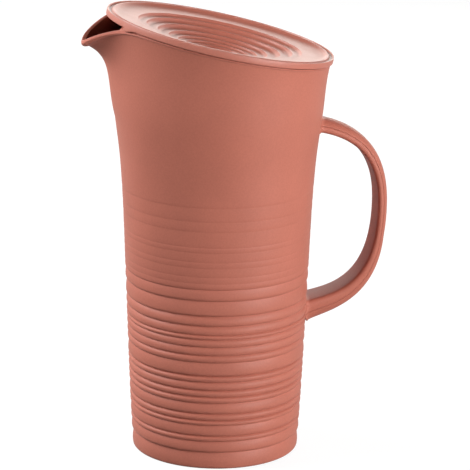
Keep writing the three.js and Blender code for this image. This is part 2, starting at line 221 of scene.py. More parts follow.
def quads(start: int, sides: int) -> list[list[int]]:
    """Faces between a ring of points, numbered from start, and the next ring.

    Args:
        start: number of the ring's first point.
        sides: points in a ring.

    Returns:
        Lists of four numbers.
    """
    j = np.arange(sides)
    k = (j + 1) % sides
    return (start + np.stack([j, k, k + sides, j + sides], axis=1)).tolist()


def new_object(name: str, vertices: Points, faces: list,
               values: dict[str, Points]) -> Piece:
    """Smooth mesh object at the origin, written in metres.

    Args:
        name: the object's name.
        vertices: points in millimetres.
        faces: lists of vertex numbers.
        values: named numbers for each vertex, for the node trees.

    Returns:
        The linked object.
    """
    mesh = bpy.data.meshes.new(name)
    mesh.from_pydata((vertices * MM).tolist(), [], faces)
    for key, numbers in values.items():
        attribute = mesh.attributes.new(key, "FLOAT", "POINT")
        attribute.data.foreach_set("value", numbers.astype(np.float32))
    mesh.shade_smooth()
    mesh.validate()
    return put(name, mesh)


def shell(name: str, rings: Sequence[Points], first: Points, last: Points,
          values: dict[str, Sequence[float]] | None = None) -> Piece:
    """Closed shell of rings, shut by a point at each end.

    Args:
        name: the object's name.
        rings: rings of equal length, each with x, y and z on its last axis.
        first: point that shuts the first ring.
        last: point that shuts the last ring.
        values: named numbers, one for each ring.

    Returns:
        The object.
    """
    sides = len(rings[0])
    count = len(rings)
    vertices = np.concatenate([first[None], *rings, last[None]])
    j = np.arange(sides)
    k = (j + 1) % sides
    faces = np.stack([np.zeros(sides, int), 1 + k, 1 + j], axis=1).tolist()
    end = 1 + (count - 1) * sides
    for start in range(1, end, sides):
        faces += quads(start, sides)
    faces += np.stack([end + j, end + k, np.full(sides, len(vertices) - 1)], axis=1).tolist()
    spread = {key: np.concatenate([[0.0], np.repeat(numbers, sides), [0.0]])
              for key, numbers in (values or {}).items()}
    return new_object(name, vertices, faces, spread)


def swept(name: str, rails: Points) -> Piece:
    """Closed solid of sections in a row.

    Args:
        name: the object's name.
        rails: points by section, place in the section, and coordinate.

    Returns:
        The object, with its faces pointing out.
    """
    sections, count, _ = rails.shape
    end = (sections - 1) * count
    faces = []
    for start in range(0, end, count):
        faces += quads(start, count)
    faces += [list(range(count - 1, -1, -1)), list(range(end, end + count))]
    made = new_object(name, rails.reshape(-1, 3), faces, {})
    work = bmesh.new()
    work.from_mesh(made.data)
    bmesh.ops.recalc_face_normals(work, faces=work.faces)
    work.to_mesh(made.data)
    work.free()
    return made


def feed(tree: Tree, socket: Socket, value: object) -> None:
    """Links another socket to an input, or sets its constant.

    Args:
        tree: tree of both sockets.
        socket: the input.
        value: another socket, or the constant.
    """
    if isinstance(value, Socket):
        tree.links.new(value, socket)
    else:
        socket.default_value = value


def add_node(tree: Tree, kind: str, inputs: Inputs | None = None,
             **settings: object) -> bpy.types.Node:
    """Adds a node to a tree.

    Args:
        tree: the tree.
        kind: the node's type.
        inputs: sockets and constants for its inputs, by name or number.
        settings: properties set on it.

    Returns:
        The node.
    """
    made = tree.nodes.new(kind)
    for key, value in settings.items():
        setattr(made, key, value)
    for key, value in (inputs or {}).items():
        feed(tree, made.inputs[key], value)
    return made


@dataclass(frozen=True)
class SatinPlastic:
    """Satin moulded plastic with a fine grain and a faint cloudiness, in metres."""

    name: str
    color: tuple[float, float, float]
    cloud_share: float = 0.035
    speckle_share: float = 0.035
    cloud_scale: float = 38.0
    speckle_scale: float = 950.0
    cloud_detail: float = 3.0
    speckle_detail: float = 1.0
    relief_detail: float = 2.0
    grain_scale: float = 1500.0
    swell_scale: float = 160.0
    roughness: tuple[float, float] = (0.42, 0.5)
    grain_depth: float = 0.00003
    swell_depth: float = 0.00006
    specular: float = 0.22

    def build(self) -> bpy.types.Material:
        """Makes the node material.

        Returns:
            The material, whose patterns follow Object coordinates.
        """
        material = bpy.data.materials.new(self.name)
        material.use_nodes = True
        tree = material.node_tree
        place = add_node(tree, "ShaderNodeTexCoord").outputs["Object"]

        def noise(scale: float, detail: float) -> Socket:
            """Noise at a scale per metre."""
            return add_node(tree, "ShaderNodeTexNoise", {
                "Vector": place, "Scale": scale, "Detail": detail}).outputs["Fac"]

        def tone(value: Socket, share: float) -> Socket:
            """Brightness factor about 1 from a noise.

            Args:
                value: the noise.
                share: how far the factor swings.

            Returns:
                The factor.
            """
            low, high = NOISE_RANGE
            return add_node(tree, "ShaderNodeMapRange", {
                "Value": value, "From Min": low, "From Max": high,
                "To Min": 1 - share, "To Max": 1 + share}).outputs["Result"]

        tones = add_node(tree, "ShaderNodeMath", {
            0: tone(noise(self.cloud_scale, self.cloud_detail), self.cloud_share),
            1: tone(noise(self.speckle_scale, self.speckle_detail), self.speckle_share),
        }, operation="MULTIPLY")
        tint = add_node(tree, "ShaderNodeVectorMath", {
            0: self.color, "Scale": tones.outputs["Value"]}, operation="SCALE")
        low, high = self.roughness
        gloss = add_node(tree, "ShaderNodeMapRange", {
            "Value": noise(self.swell_scale, self.relief_detail), "To Min": low, "To Max": high})
        bumps = ((self.swell_scale, self.swell_depth), (self.grain_scale, self.grain_depth))
        swell, grain = (add_node(tree, "ShaderNodeBump", {
            "Distance": depth, "Height": noise(scale, self.relief_detail),
        }) for scale, depth in bumps)
        feed(tree, grain.inputs["Normal"], swell.outputs["Normal"])
        for name, value in (
                ("Base Color", tint.outputs["Vector"]), ("Roughness", gloss.outputs["Result"]),
                ("Normal", grain.outputs["Normal"]), ("Specular IOR Level", self.specular)):
            feed(tree, tree.nodes["Principled BSDF"].inputs[name], value)
        return material


class NodeTool:
    """Geometry node tree with named inputs, which turns a mesh object into a finished mesh."""

    def __init__(self, name: str) -> None:
        """Starts an empty tree.

        Args:
            name: the tree's name.
        """
        self.tree = bpy.data.node_groups.new(name, "GeometryNodeTree")
        self.tree.interface.new_socket(
            "Geometry", in_out="OUTPUT", socket_type="NodeSocketGeometry")
        self.identifiers: dict[str, str] = {}
        self.source = self.node("NodeGroupInput")
        self.add_input("Geometry", "NodeSocketGeometry")

    def add_input(self, name: str, kind: str = "NodeSocketFloat") -> Socket:
        """Adds a named input.

        Args:
            name: the input's name.
            kind: the socket's type.

        Returns:
            The socket that the input comes out of.
        """
        item = self.tree.interface.new_socket(name, in_out="INPUT", socket_type=kind)
        self.identifiers[name] = item.identifier
        return self.source.outputs[name]

    def node(self, kind: str, inputs: Inputs | None = None,
             **settings: object) -> bpy.types.Node:
        """Adds a node to this tree, as add_node does."""
        return add_node(self.tree, kind, inputs, **settings)

    def math(self, operation: str, a: object, b: object = None,
             vector: bool = False) -> Socket:
        """Sum, product or power of two sockets or numbers, or a function of one.

        Args:
            operation: the math node's operation.
            a: socket or number.
            b: second socket or number, if there is one.
            vector: whether a is a vector.

        Returns:
            The result's socket.
        """
        inputs = {0: a}
        if b is not None:
            inputs["Scale" if operation == "SCALE" else 1] = b
        kind = "ShaderNodeVectorMath" if vector else "ShaderNodeMath"
        return self.node(kind, inputs, operation=operation).outputs[0]

    def end(self, geometry: Socket) -> None:
        """Closes the tree: smooth faces, real meshes and the material.

        Args:
            geometry: what the tree has made.
        """
        smooth = self.node("GeometryNodeSetShadeSmooth", {"Geometry": geometry})
        real = self.node("GeometryNodeRealizeInstances", {"Geometry": smooth.outputs["Geometry"]})
        dressed = self.node("GeometryNodeSetMaterial", {
            "Geometry": real.outputs["Geometry"],
            "Material": self.add_input("Material", "NodeSocketMaterial")})
        self.node("NodeGroupOutput", {"Geometry": dressed.outputs["Geometry"]})

    def finish(self, piece: Piece, **values: object) -> None:
        """Runs the tree on a piece and keeps the result as the piece's plain mesh.

        Args:
            piece: the object to work on.
            values: the tree's inputs by name, with _ for a space.
        """
        modifier = piece.modifiers.new(self.tree.name, "NODES")
        modifier.node_group = self.tree
        for key, value in values.items():
            modifier[self.identifiers[key.replace("_", " ")]] = value
        graph = bpy.context.evaluated_depsgraph_get()
        result = bpy.data.meshes.new_from_object(piece.evaluated_get(graph))
        piece.modifiers.remove(modifier)
        old = piece.data
        piece.data = result
        bpy.data.meshes.remove(old)
        result.name = piece.name


class StepRings(NodeTool):
    """Sinks the rings of a turned piece between their crests.

    The mesh holds ring_depth and ring_place. The place runs from 0 on a crest to 1 in the
    groove after a shingle, or to 1 on the next crest of a terrace.
    """

    def __init__(self, shape: StepShape) -> None:
        """Builds the tree for one shape of ring.

        Args:
            shape: how the rings sink.
        """
        super().__init__(f"{shape.value}_rings")
        depth, wander, scale, seed = (
            self.add_input(name) for name in ("Depth", "Wander", "Wander Scale", "Seed"))
        direction = self.add_input("Direction", "NodeSocketVector")
        place = self._attribute("ring_place")
        position = self.node("GeometryNodeInputPosition").outputs["Position"]
        if shape is StepShape.SHINGLE:
            sink = self.math("POWER", place, self.add_input("Taper"))
            level = self.math("MULTIPLY", position, (1.0, 1.0, 0.0), vector=True)
            inward = self.math("NORMALIZE", level, vector=True)
            direction = self.math("MULTIPLY", inward, direction, vector=True)
        else:
            left = self.math("SUBTRACT", 1.0, place)
            tread = self.math("POWER", left, self.add_input("Steepness"))
            sink = self.math("SUBTRACT", left, tread)

        noise = self.node("ShaderNodeTexNoise", {
            "Vector": position, "W": seed, "Scale": scale, "Detail": 1.0}, noise_dimensions="4D")
        swing = self.math("SUBTRACT", noise.outputs["Fac"], NOISE_MIDDLE)
        swing = self.math("ADD", self.math("MULTIPLY", swing, wander), 1.0)
        amount = self.math("MULTIPLY", sink, self._attribute("ring_depth"))
        amount = self.math("MULTIPLY", self.math("MULTIPLY", amount, depth), swing)
        geometry = self.node("GeometryNodeSetPosition", {
            "Geometry": self.source.outputs["Geometry"],
            "Offset": self.math("SCALE", direction, amount, vector=True)}).outputs["Geometry"]
        for name in ("ring_place", "ring_depth"):
            geometry = self.node("GeometryNodeRemoveAttribute", {
                "Geometry": geometry, "Name": name}).outputs["Geometry"]
        self.end(geometry)

    def _attribute(self, name: str) -> Socket:
        """Number that the mesh holds under a name."""
        return self.node("GeometryNodeInputNamedAttribute", {
            "Name": name}, data_type="FLOAT").outputs["Attribute"]


class ArcRing(NodeTool):
    """Sweeps a four-sided section along an arc, for the plug ring."""

    def __init__(self) -> None:
        """Builds the tree."""
        super().__init__("arc_ring")
        arc = self.node("GeometryNodeCurveArc", {
            "Resolution": self.add_input("Sides", "NodeSocketInt"),
            "Radius": self.add_input("Radius"), "Start Angle": self.add_input("Start"),
            "Sweep Angle": self.add_input("Sweep")}, mode="RADIUS")
        section = self.node("GeometryNodeCurvePrimitiveQuadrilateral", {
            "Width": self.add_input("Depth"), "Height": self.add_input("Wall"),
            "Offset": self.add_input("Taper")}, mode="PARALLELOGRAM")
        soft = self.node("GeometryNodeFilletCurve", {
            "Curve": section.outputs["Curve"], "Count": CORNER_STEPS,
            "Radius": self.add_input("Corner")}, mode="POLY")
        sweep = self.node("GeometryNodeCurveToMesh", {
            "Curve": arc.outputs["Curve"], "Profile Curve": soft.outputs["Curve"],
            "Fill Caps": True})
        self.end(sweep.outputs["Mesh"])


@dataclass(frozen=True)
class Mouth:
    """The oblique plane that rim and lid share."""

    height: float = 251.8
    tilt: float = math.radians(12.1)

    def point(self, angle: Points, radius: Points, height: Points) -> Points:
        """Points given in the lid's plane.

        Args:
            angle: angle round the lid, 0 at the handle.
            radius: distance from the lid's centre.
            height: height square to the plane.

        Returns:
            Points in the part's frame, with x, y and z on the last axis.
        """
        along, across = radius * np.cos(angle), radius * np.sin(angle)
        sine, cosine = math.sin(self.tilt), math.cos(self.tilt)
        return np.stack(np.broadcast_arrays(
            along * cosine + height * sine, across,
            self.height - along * sine + height * cosine), axis=-1)

    @property
    def axis(self) -> Vector:
        """Direction square to the plane."""
        return Vector((math.sin(self.tilt), 0, math.cos(self.tilt)))


@dataclass
class JugBody:
    """Turned body with ring grooves, a leaning mouth and a beak."""

    mouth: Mouth
    plastic: bpy.types.Material
    base_radius: float = 50.0
    shoulder_radius: float = 61.6
    shoulder_height: float = 205.0
    wall: float = 2.8
    floor: float = 3.2
    foot_fillet: float = 1.9
    inner_fillet: float = 6.0
    sides: int = 224
    crowding_share: float = 0.3

    # Ring grooves and the fine hairlines above them
    ribbed_height: float = 163.0
    groove_depth: float = 1.5
    overhang: float = 2.0
    overhang_share: float = 0.5
    hairline_depth_share: float = 0.095
    groove_taper: float = 2.3
    wander: float = 0.15
    wander_scale: float = 9.0
    wander_seed: float = 4.0

    # Rim, ledge, beak, and the bead under the lip
    rim_radius: float = 67.4
    ledge: float = 1.3
    tip_ledge: float = 0.1
    upstand: float = 1.9
    spout_reach: float = 13.2
    spout_drop: float = 17.7
    spout_angle: float = math.radians(15.7)
    spout_drop_angle: float = math.radians(14.4)
    spout_drop_power: float = 1.5
    bead_reach: float = 4.8
    bead_height: float = 0.9
    rim_bead_reach: float = 0.1
    rim_bead_height: float = 0.8
    rim_flare_share: float = 0.24
    shoulder_flare_share: float = 0.14
    curl_share: float = 0.55
    curl_power: float = 9.0
    upstand_power: float = 1.22
    # Inner corners of the bead, as shares of its reach and depth
    bead_corners: tuple = ((0.45, 1.0), (0.1, 0.6))
    lip_inset: float = 0.2
    lip_radii: tuple = (1.2, 0.9, 0.25, 0.12, 0.55, 0.55)
    lip_steps: int = 5

    # Height and radius between base and shoulder, as shares
    profile_shares: tuple = (
        (0, 0), (0.195, 0.19), (0.49, 0.4), (0.73, 0.565), (0.878, 0.737), (1, 1))
    # Place of each groove and how deep it is, as shares
    groove_shares: tuple = (
        (0.064, 1.05), (0.107, 0.85), (0.128, 0.85), (0.17, 0.75), (0.189, 0.9), (0.215, 1),
        (0.256, 0.9), (0.28, 0.95), (0.306, 1), (0.337, 0.9), (0.361, 1.05), (0.413, 0.85),
        (0.44, 0.85), (0.472, 0.75), (0.501, 0.8), (0.518, 0.7), (0.552, 0.95), (0.59, 1),
        (0.648, 0.8), (0.691, 0.55))
    hairline_shares: tuple = (0.715, 0.739, 0.773, 0.795, 0.831, 0.85, 0.91, 0.947, 1)
    band_steps: tuple = (0.2, 0.4, 0.56, 0.69, 0.8, 0.89, 0.95, 1)
    overhang_steps: tuple = (0.04, 0.12, 0.24, 0.4, 0.6, 0.8, 1)
    last_band: float = 10.0
    # Rings of the other stretches, from the underside over the lip to the floor inside
    underside_shares: tuple = (0.3, 0.7)
    foot_steps: int = 6
    plain_steps: int = 14
    throat_steps: int = 46
    throat_crowding: float = 0.75
    inner_throat_top: float = 0.95
    inner_throat_steps: int = 24
    inner_wall_steps: int = 16
    inner_corner_steps: int = 7

    def __post_init__(self) -> None:
        """Sets the angles of the sides, closer together at the beak."""
        even = TURN * np.arange(self.sides) / self.sides
        self.angles = even + self.crowding_share * np.sin(even)

    def radius(self, height: float) -> float:
        """Outer radius of the turned part at a height, without its grooves."""
        share = smooth_table(self.profile_shares, height / self.shoulder_height)
        return self.base_radius + (self.shoulder_radius - self.base_radius) * share

    def edge(self, angle: Points) -> tuple[Points, Points, Points]:
        """Beak's pull, radius and height of the ledge's outer corner, in the lid's plane.

        Args:
            angle: angles round the mouth.

        Returns:
            Pull from 0 to 1, radius and height at each angle.
        """
        off = np.abs(angle - math.pi)
        reach = np.exp(-((off / self.spout_angle)**2))
        drop = np.exp(-((off / self.spout_drop_angle)**self.spout_drop_power))
        return reach, self.rim_radius + self.spout_reach * reach, -self.spout_drop * drop

    def upper_wall(self, t: Points) -> Points:
        """Outer wall above the shoulder.

        Args:
            t: place from 0 at the shoulder to 1 at the lip.

        Returns:
            Radius, height and angle of each side, on the first axis.
        """
        reach, radius, height = self.edge(self.angles)
        rim = self.mouth.point(
            self.angles, self.rim_radius - self.rim_bead_reach, -self.rim_bead_height)
        lip = self.mouth.point(
            self.angles, radius - self.rim_bead_reach - self.bead_reach * reach,
            height - self.rim_bead_height)
        rim_radius, lip_radius = np.hypot(rim[:, 0], rim[:, 1]), np.hypot(lip[:, 0], lip[:, 1])
        turned_by = np.arctan2(lip[:, 1], lip[:, 0]) - self.angles
        turned_by -= TURN * np.round(turned_by / TURN)
        rise = rim[:, 2] - self.shoulder_height
        base = hermite(self.shoulder_radius, self.shoulder_flare_share * rise,
                       rim_radius, self.rim_flare_share * rise, t)
        throat = (1 - self.curl_share) * t + self.curl_share * t**self.curl_power
        return np.stack([
            base + (lip_radius - rim_radius) * throat,
            self.shoulder_height + (lip[:, 2] - self.shoulder_height) * t,
            self.angles + turned_by * t,
        ])

    def inner_wall(self, t: float, step: float = 1 / 64) -> Points:
        """Ring of the inner wall, one wall's thickness in from the outer one at t.

        Args:
            t: place from 0 at the shoulder to 1 at the lip.
            step: how far off t the wall's direction is taken.

        Returns:
            The ring's points.
        """
        low, high = self.upper_wall(max(t - step, 0)), self.upper_wall(min(t + step, 1))
        radius, height, angle = self.upper_wall(t)
        run, rise = high[0] - low[0], high[1] - low[1]
        length = np.hypot(run, rise)
        return turned_place(
            angle, radius - self.wall * rise / length, height + self.wall * run / length)

    def lip_rings(self) -> list[Points]:
        """Rings of the lip: rounded bead, ledge and upstand.

        Returns:
            The rings, from the bead outside to the upstand inside.
        """
        reach, radius, height = self.edge(self.angles)
        bead = self.rim_bead_reach + self.bead_reach * reach
        deep = self.rim_bead_height + self.bead_height * reach
        tip = self.rim_radius + self.spout_reach - self.tip_ledge
        inside = self.rim_radius - self.ledge
        outer = inside + (tip - inside) * reach**self.upstand_power
        inner = outer - self.wall + self.ledge + (self.tip_ledge - self.ledge) * reach
        top = height + self.upstand
        corners = [np.stack(pair) for pair in (
            (radius - bead, height - self.rim_bead_height),
            *((radius - a * bead, height - b * deep) for a, b in self.bead_corners),
            (radius, height), (outer, height), (outer, top), (inner, top),
            (inner - self.lip_inset, height - self.upstand))]
        outline = rounded(corners, self.lip_radii, self.lip_steps)
        return [self.mouth.point(self.angles, r, h) for r, h in outline[1:-1]]

    def wall_rings(self) -> tuple[list[Points], list[float], list[float]]:
        """Rings of the grooved wall from the foot to the shoulder.

        Returns:
            The rings, and the place and depth of each one for the groove tree.
        """
        grooves = list(self.groove_shares)
        grooves += [(share, self.hairline_depth_share) for share in self.hairline_shares]
        heights = [share * self.ribbed_height for share, _ in grooves]
        rows = []
        low = self.foot_fillet
        following = [*heights[1:], self.ribbed_height + self.last_band]
        for (_, depth), height, after in zip(grooves, heights, following):
            rise = min(self.overhang, self.overhang_share * (after - height))
            rows += [(low + (height - low) * s, s, depth) for s in self.band_steps]
            for s in self.overhang_steps:
                roll = 1 - math.sqrt(1 - (1 - s)**2)
                rows.append((height + rise * s, roll**(1 / self.groove_taper), depth))
            low = height + rise
        plain = np.linspace(low, self.shoulder_height, self.plain_steps)[1:-1]
        rows += [(height, 0, 0) for height in plain]
        rings = [turned_place(self.angles, self.radius(h), h) for h, _, _ in rows]
        return rings, [place for _, place, _ in rows], [depth for _, _, depth in rows]

    def build(self) -> Piece:
        """Makes the body as one shell, from the underside over the lip to the floor inside.

        Returns:
            The object that stands for the body.
        """
        rings = [turned_place(self.angles, share * self.base_radius, 0.0)
                 for share in self.underside_shares]
        for turn in np.linspace(0, math.pi / 2, self.foot_steps):
            rings.append(turned_place(
                self.angles, self.base_radius - self.foot_fillet * (1 - math.sin(turn)),
                self.foot_fillet * (1 - math.cos(turn))))
        below = len(rings)
        wall, places, depths = self.wall_rings()
        rings += wall
        above = len(rings)
        for t in np.linspace(0, 1, self.throat_steps)**self.throat_crowding:
            radius, height, angle = self.upper_wall(t)
            rings.append(turned_place(angle, radius, height))
        rings += self.lip_rings()
        rings += [self.inner_wall(t) for t in np.linspace(
            self.inner_throat_top, 0, self.inner_throat_steps)]
        corner_height = self.floor + self.inner_fillet
        for height in np.linspace(self.shoulder_height, corner_height, self.inner_wall_steps)[1:]:
            rings.append(turned_place(self.angles, self.radius(height) - self.wall, height))
        corner = self.radius(corner_height) - self.wall
        for turn in np.linspace(0, math.pi / 2, self.inner_corner_steps)[1:]:
            rings.append(turned_place(
                self.angles, corner - self.inner_fillet * (1 - math.cos(turn)),
                corner_height - self.inner_fillet * math.sin(turn)))
        rings.append(turned_place(self.angles, corner / 2, self.floor))
        rest = [0.0] * (len(rings) - above)
        piece = shell(
            "jug_shell", rings, np.zeros(3), np.array([0, 0, self.floor]),
            {"ring_place": [0.0] * below + places + rest,
             "ring_depth": [0.0] * below + depths + rest})
        StepRings(StepShape.SHINGLE).finish(
            piece, Depth=self.groove_depth * MM, Direction=(-1.0, -1.0, 0.0), Wander=self.wander,
            Wander_Scale=self.wander_scale, Seed=self.wander_seed, Taper=self.groove_taper,
            Material=self.plastic)
        return piece


@dataclass
class LoopHandle:
    """Loop handle: a grip with a flat inner face, and a cover that closes its back."""

    wall_radius: Callable[[float], float]
    grip_plastic: bpy.types.Material
    cover_plastic: bpy.types.Material
    # Loop
    width: float = 20.0
    root_width: float = 25.0
    top_thickness: float = 8.1
    thickness: float = 6.6
    root_thickness: float = 14.5
    thickening_power: float = 1.45
    reach: float = 97.1
    top_height: float = 193.8
    middle_height: float = 147.8
    root_height: float = 89.2
    # Section, with shares from the inner face's edge to its other edge
    grip_wall: float = 1.8
    grip_floor: float = 2.0
    edge_share: float = 0.07
    seam_share: float = 0.135
    outline_power: float = 0.75
    # How far the roots reach into the wall, and their fillet
    overrun: float = 4.0
    overrun_share: float = 0.12
    sink: float = 1.4
    root_fillet: float = 2.2
    # Seam between grip and cover, and the section's edges
    seam_gap: float = 0.08
    seam_step: float = 0.3
    cover_edge: float = 0.3
    edge_width: float = 3.2
    edge_steps: int = 8
    corner_steps: int = 5
    seam_radius: float = 0.7
    channel_radius: float = 0.5
    cover_steps: int = 15
    cover_hollow_steps: tuple = (1, 0.8, 0.55, 0.28, 0)
    # Stations worked out, and those kept in the mesh
    dense: int = 360
    stations: int = 130
    # Bezier handles: root rise, arm reach, arm rise and bend
    top_shares: tuple = (0.01, 0.75, -0.033, 0.235)
    root_shares: tuple = (0.0, 0.3, 0.052, -0.545)

    def _half(self, height: float, shares: tuple, t: Points) -> tuple[Points, Points]:
        """Place and direction along one half of the inner face, from its root outward.

        Args:
            height: the root's height.
            shares: the half's Bezier shares.
            t: places, 0 just inside the wall and 1 in the middle.

        Returns:
            Points and unit directions as x and z.
        """
        root, arm_reach, arm_rise, bend = shares
        span = self.top_height - self.root_height
        start = self.wall_radius(height) - self.overrun
        points = np.array([
            (start, height + root * span),
            (start + (self.reach - start) * arm_reach, height + arm_rise * span),
            (self.reach, self.middle_height + bend * span),
            (self.reach, self.middle_height),
        ])
        t = t[:, None]
        place = ((1 - t)**3 * points[0] + 3 * t * (1 - t)**2 * points[1]
                 + 3 * t**2 * (1 - t) * points[2] + t**3 * points[3])
        along = bow(*np.diff(points, axis=0), t)
        return place, along / np.linalg.norm(along, axis=1)[:, None]

    def _stations(self) -> tuple[Points, Points, Points, Points]:
        """Stations of the handle from the top root to the lower one.

        Returns:
            Points and outward directions as x and z, widths, and thicknesses.
        """
        t = np.linspace(-self.overrun_share, 1, self.dense)
        top, top_along = self._half(self.top_height, self.top_shares, t)
        low, low_along = self._half(self.root_height, self.root_shares, t)
        t = np.maximum(t, 0)
        ease = eased(t)
        place = np.concatenate([top, low[::-1][1:]])
        along = np.concatenate([top_along, -low_along[::-1][1:]])
        out = np.stack([-along[:, 1], along[:, 0]], axis=1)
        width = np.concatenate([
            np.full(self.dense, self.width),
            (self.width + (self.root_width - self.width) * ease)[1:]])
        lean = (1 - t)**self.thickening_power
        thick = np.concatenate([
            self.top_thickness + (self.thickness - self.top_thickness) * ease,
            (self.root_thickness + (self.thickness - self.root_thickness) * lean)[1:]])
        return place, out, width, thick

    def _outline(self, width: Points, thick: Points, share: float) -> Points:
        """Points of the handle's rounded outline.

        Args:
            width: width of each station.
            thick: thickness of each station.
            share: place on the outline; 0 and 1 are the inner face's edges.

        Returns:
            Across and out on the first axis.
        """
        angle = math.pi * share
        across = math.copysign(abs(math.cos(angle))**self.outline_power, math.cos(angle))
        return np.stack([across * width / 2, math.sin(angle)**self.outline_power * thick])

    def _grip_section(self, width: Points, thick: Points) -> list[Points]:
        """Section of the grip: inner face, sides and an open channel behind.

        Args:
            width: width of each station.
            thick: thickness of each station.

        Returns:
            Points round the section, each with across and out on the first axis.
        """
        seam = self._outline(width, thick, self.seam_share)
        inside = seam[0] - self.grip_wall
        corner = np.stack([width / 2, 0 * width])
        start = corner - np.array([[self.edge_width], [0]])
        end = self._outline(width, thick, self.edge_share)
        edge = [bow(start, corner, end, t) for t in np.linspace(0, 1, self.edge_steps)]
        middle = 0 * width
        floor = middle + self.grip_floor
        right = [
            np.stack([middle, middle]), *edge, seam, np.stack([inside, seam[1]]),
            np.stack([inside, floor]), np.stack([middle, floor])]
        radii = [0] * len(edge) + [self.seam_radius, self.seam_radius, self.channel_radius]
        return mirrored(rounded(right, radii, self.corner_steps))

    def _cover_section(self, width: Points, thick: Points) -> list[Points]:
        """Section of the cover that closes the channel; share 0.5 is the middle of its back.

        Args:
            width: width of each station.
            thick: thickness of each station.

        Returns:
            Points round the section, each with across and out on the first axis.
        """
        lift = np.array([[0], [self.seam_gap]])
        seam = self._outline(width, thick, self.seam_share)
        outer = [self._outline(width - 2 * self.seam_step, thick, s) + lift
                 for s in np.linspace(self.seam_share, 0.5, self.cover_steps)]
        reach = outer[0][0] - self.grip_wall
        hollow = thick - seam[1] - self.grip_wall
        inner = [np.stack([reach * s, seam[1] + self.seam_gap + hollow * (1 - s * s)])
                 for s in self.cover_hollow_steps]
        edge = rounded([outer[1], outer[0], inner[0], inner[1]],
                       (self.cover_edge, self.cover_edge), self.corner_steps)
        return mirrored([*inner[:0:-1], *edge[-2:0:-1], *outer[1:]])

    def _rails(self, section: Callable) -> Points:
        """Section swept down the handle, spread at its roots and cut off inside the wall.

        Args:
            section: function of widths and thicknesses that gives the outline.

        Returns:
            Points by station, place in the section, and coordinate.
        """
        place, out, width, thick = self._stations()
        outline = np.stack(section(width, thick))
        centre = np.stack([0 * thick, thick / 2])
        heading = (outline - centre) / np.stack([width / 2, thick / 2])
        heading /= np.maximum(np.linalg.norm(heading, axis=1), 1)[:, None]

        def rails(spread: Points) -> Points:
            """Points of the outline moved out by a spread.

            Args:
                spread: how far, by point and station.

            Returns:
                Points by place in the section, station and coordinate.
            """
            across, lift = np.moveaxis(outline + heading * spread[:, None], 1, 0)
            x = place[:, 0] + out[:, 0] * lift
            z = place[:, 1] + out[:, 1] * lift
            return np.stack([x, across, z], axis=-1)

        wall = np.vectorize(self.wall_radius)

        def clear(points: Points) -> Points:
            """Distance of points from the body's wall."""
            return np.hypot(points[..., 0], points[..., 1]) - wall(points[..., 2])

        near = np.clip(1 - clear(rails(np.zeros(outline.shape[::2]))) / self.root_fillet, 0, 1)
        points = rails(self.root_fillet * (1 - np.sqrt(1 - near**2)))
        depth = clear(points) + self.sink
        steps = np.arange(len(place))
        half = self.dense
        made = []
        for rail, gap in zip(points, depth):
            first = np.interp(0, gap[:half], steps[:half])
            last = np.interp(0, gap[half:][::-1], steps[half:][::-1])
            cuts = np.linspace(first, last, self.stations)
            made.append(np.stack([np.interp(cuts, steps, rail[:, i]) for i in range(3)], axis=-1))
        return np.stack(made, axis=1)

    def build(self) -> list[Piece]:
        """Makes the grip and its cover.

        Returns:
            The two objects, grip first.
        """
        grip = swept("grip_shell", self._rails(self._grip_section))
        cover = swept("cover_shell", self._rails(self._cover_section))
        grip.data.materials.append(self.grip_plastic)
        cover.data.materials.append(self.cover_plastic)
        return [grip, cover]


